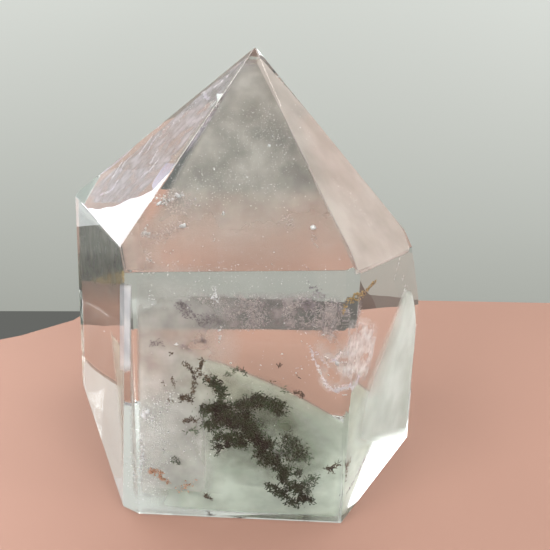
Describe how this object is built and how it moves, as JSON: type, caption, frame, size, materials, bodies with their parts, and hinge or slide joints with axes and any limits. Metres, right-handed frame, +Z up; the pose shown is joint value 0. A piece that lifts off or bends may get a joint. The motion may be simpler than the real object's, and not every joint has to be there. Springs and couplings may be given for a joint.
{
  "type": "quartz crystal",
  "caption": "Polished clear quartz point with a stubby faceted tip and a flat sawn base, and a dark mossy chlorite growth sealed inside. Stands by itself as an ornament.",
  "frame": {"origin": "centre of the flat base", "axes": "+Z up along the crystal to its tip, -Y out of the broad front face behind which the growth lies, +X to the right as seen from the front"},
  "size_m": [0.0772, 0.0646, 0.0797],
  "materials": {
    "clear_quartz": "polished",
    "chlorite": "matte"
  },
  "bodies": {
    "root": {"quartz_base": "clear_quartz", "quartz_tip": "clear_quartz", "chlorite_phantom": "chlorite"}
  },
  "joints": []
}
